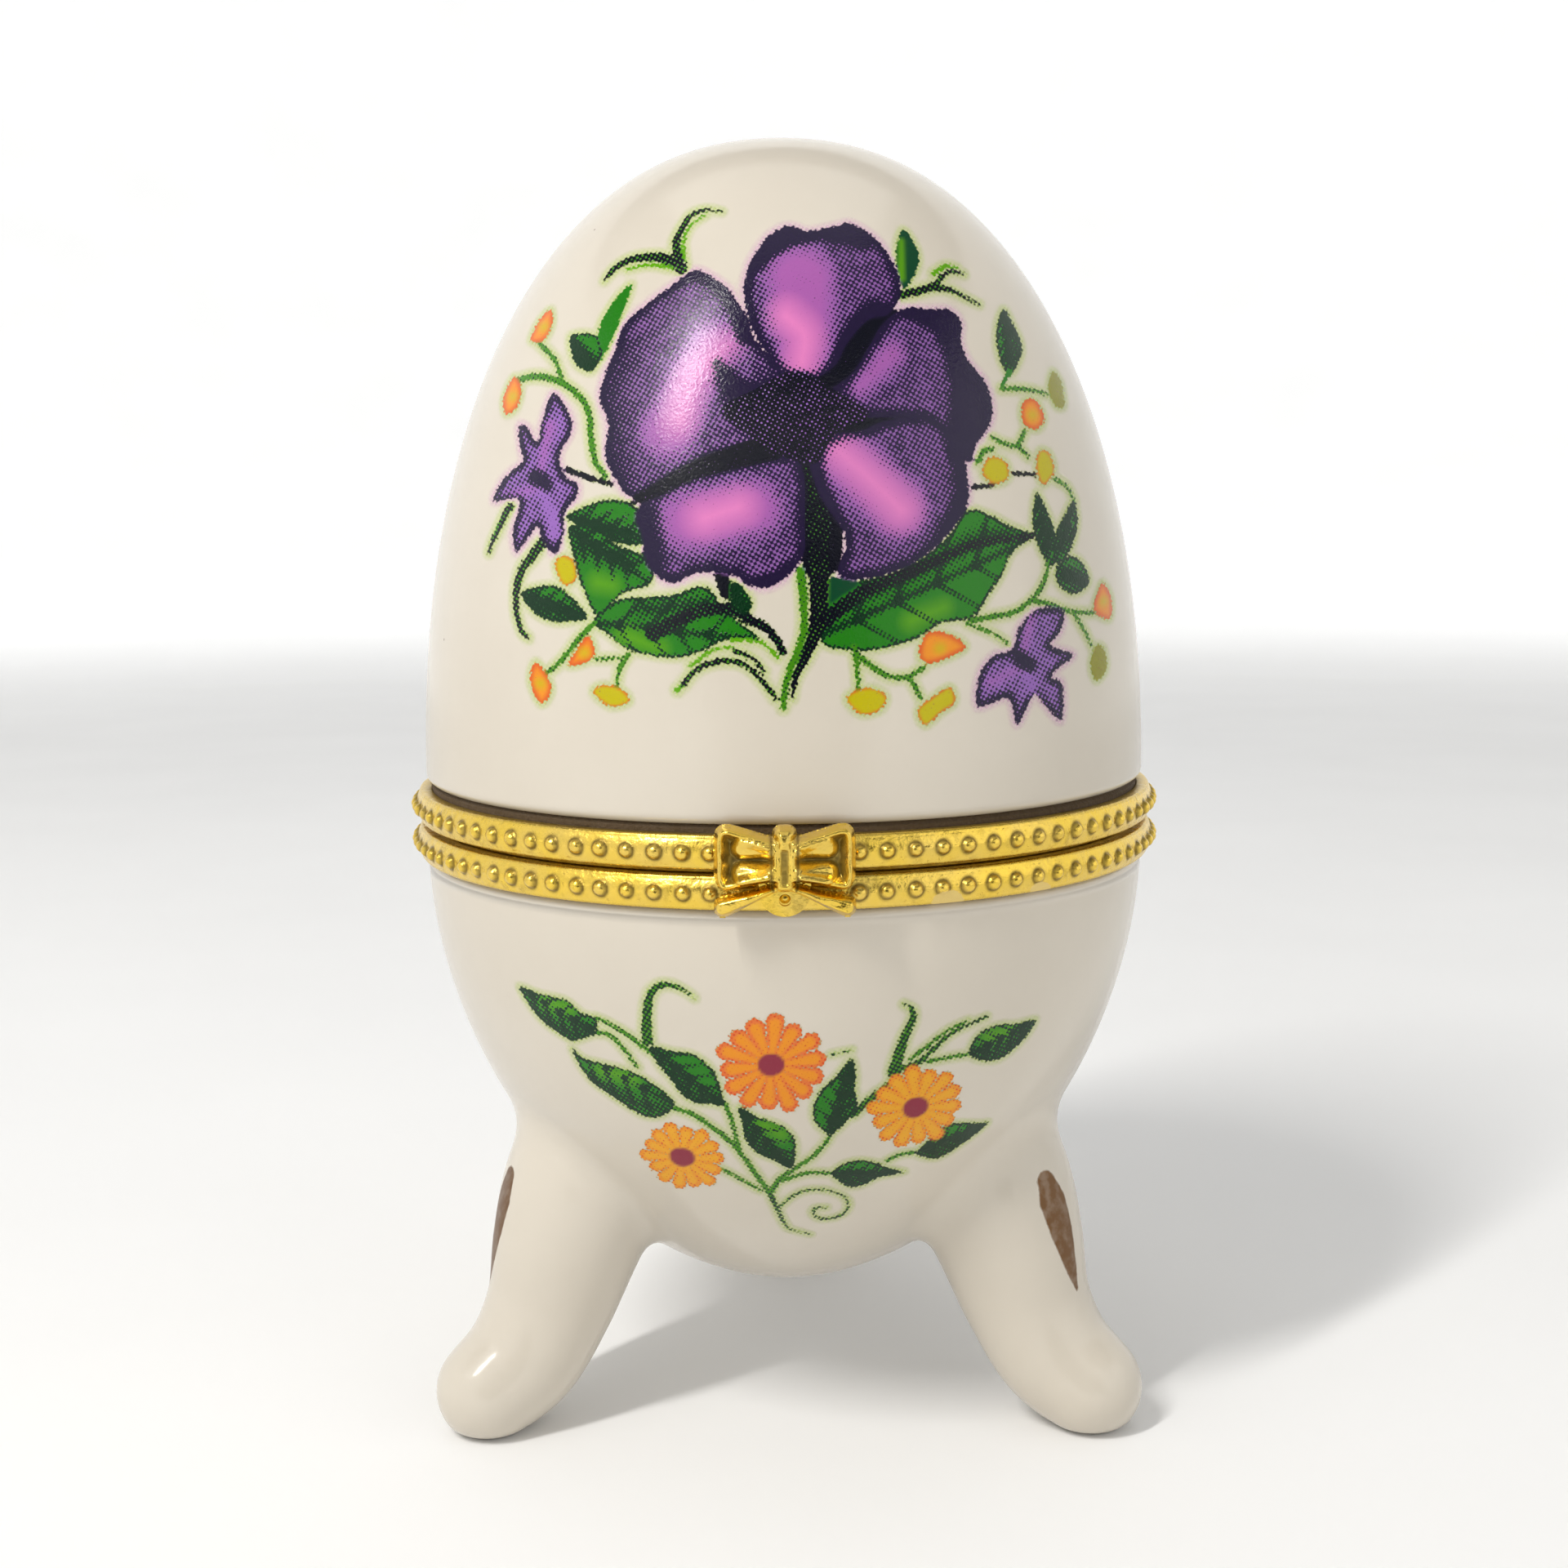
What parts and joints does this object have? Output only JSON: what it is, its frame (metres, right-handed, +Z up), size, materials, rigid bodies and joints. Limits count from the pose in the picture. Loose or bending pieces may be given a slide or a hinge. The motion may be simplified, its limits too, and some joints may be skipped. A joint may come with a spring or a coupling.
{
  "type": "footed egg trinket box",
  "caption": "Porcelain egg box on short feet with gilt brass rims, a rear hinge and a bow-shaped snap clasp, for keeping small trinkets.",
  "frame": {"origin": "on the table under the egg's vertical axis, centre of the bottom of the whole object", "axes": "+Z up along the egg, -Y towards the bow clasp, +Y towards the hinge, +X to the right seen from the bow"},
  "size_m": [0.0572, 0.0621, 0.0951],
  "materials": {
    "base_porcelain": "glossy warm white glaze with printed flowers",
    "base_cement": "dark set cement",
    "base_band": "gilt, slightly worn",
    "base_hinge_leaf": "gilt",
    "hinge_pin": "drawn wire",
    "catch_nub": "gilt",
    "lid_porcelain": "glossy warm white glaze with printed flowers",
    "lid_cement": "dark set cement",
    "lid_band": "gilt, slightly worn",
    "lid_hinge_leaf": "gilt",
    "clasp_tongue": "gilt spring brass",
    "bow_clasp": "bright gilt casting"
  },
  "bodies": {
    "base": {"base_porcelain": "base_porcelain", "base_cement": "base_cement", "base_band": "base_band", "base_hinge_leaf": "base_hinge_leaf", "hinge_pin": "hinge_pin", "catch_nub": "catch_nub"},
    "lid": {"lid_porcelain": "lid_porcelain", "lid_cement": "lid_cement", "lid_band": "lid_band", "lid_hinge_leaf": "lid_hinge_leaf", "clasp_tongue": "clasp_tongue", "bow_clasp": "bow_clasp"}
  },
  "joints": [
    {"name": "lid_hinge", "type": "hinge", "parent": "base", "child": "lid", "pos_m": [0, 0.0296, 0.0448], "axis": [-1, 0, 0], "range_deg": [0, 100]}
  ]
}
